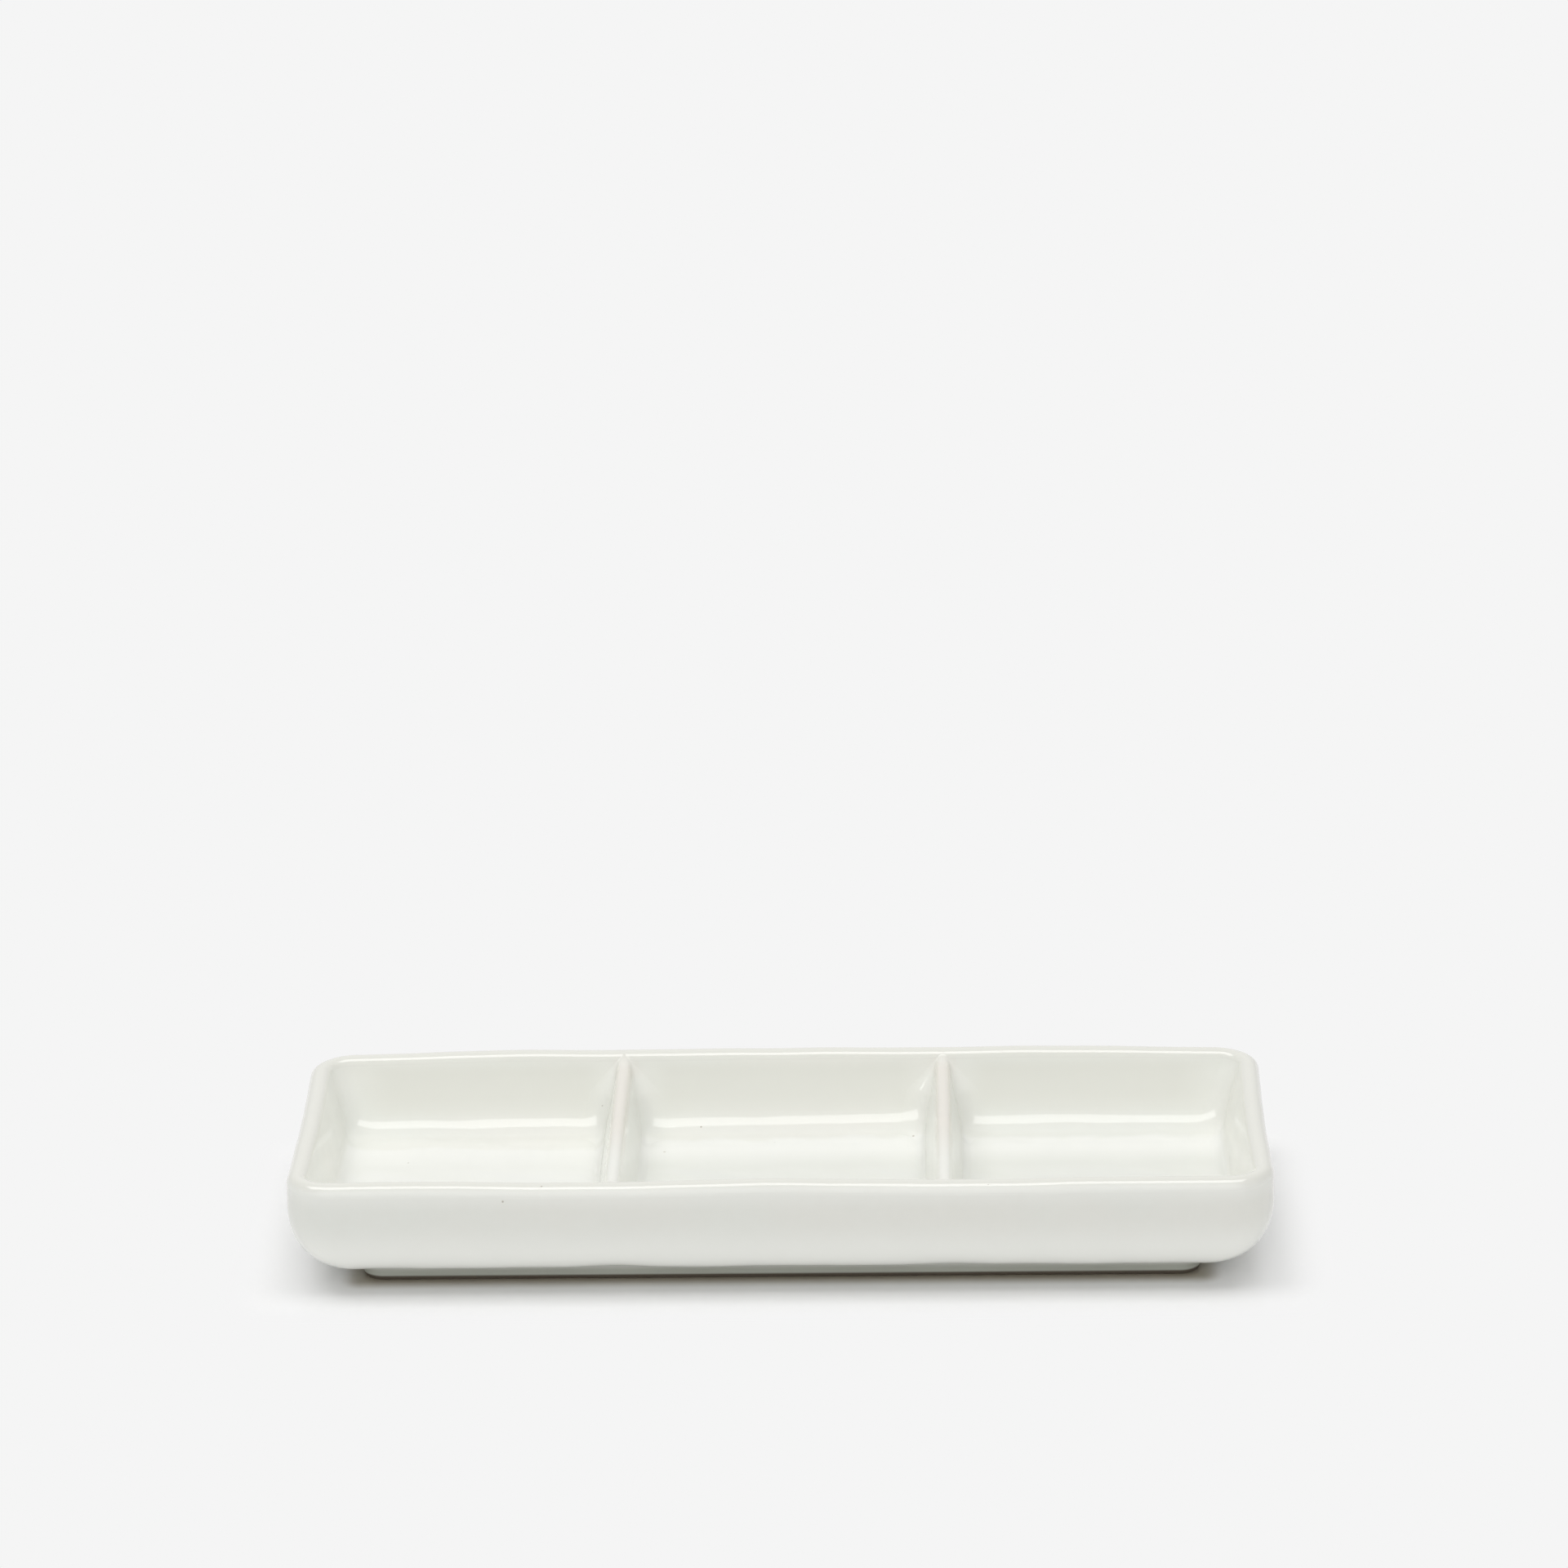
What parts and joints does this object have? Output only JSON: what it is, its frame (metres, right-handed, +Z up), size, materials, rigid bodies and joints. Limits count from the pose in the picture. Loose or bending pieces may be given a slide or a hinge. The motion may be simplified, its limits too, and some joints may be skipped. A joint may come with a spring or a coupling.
{
  "type": "divided appetizer plate",
  "caption": "Long rectangular porcelain tray, divided into wells for small bites or dips, with coved floors, a rounded rim and a low foot ring.",
  "frame": {"origin": "on the table, under the middle of the dish", "axes": "+X along the dish, +Y across it to the back, +Z up"},
  "size_m": [0.216, 0.0816, 0.0265],
  "materials": {
    "glaze": "glossy off-white glaze",
    "foot": "glazed faces, bare matt clay where it stands"
  },
  "bodies": {
    "root": {"tray_body": "glaze", "left_divider": "glaze", "right_divider": "glaze", "foot_ring": "foot"}
  },
  "joints": []
}
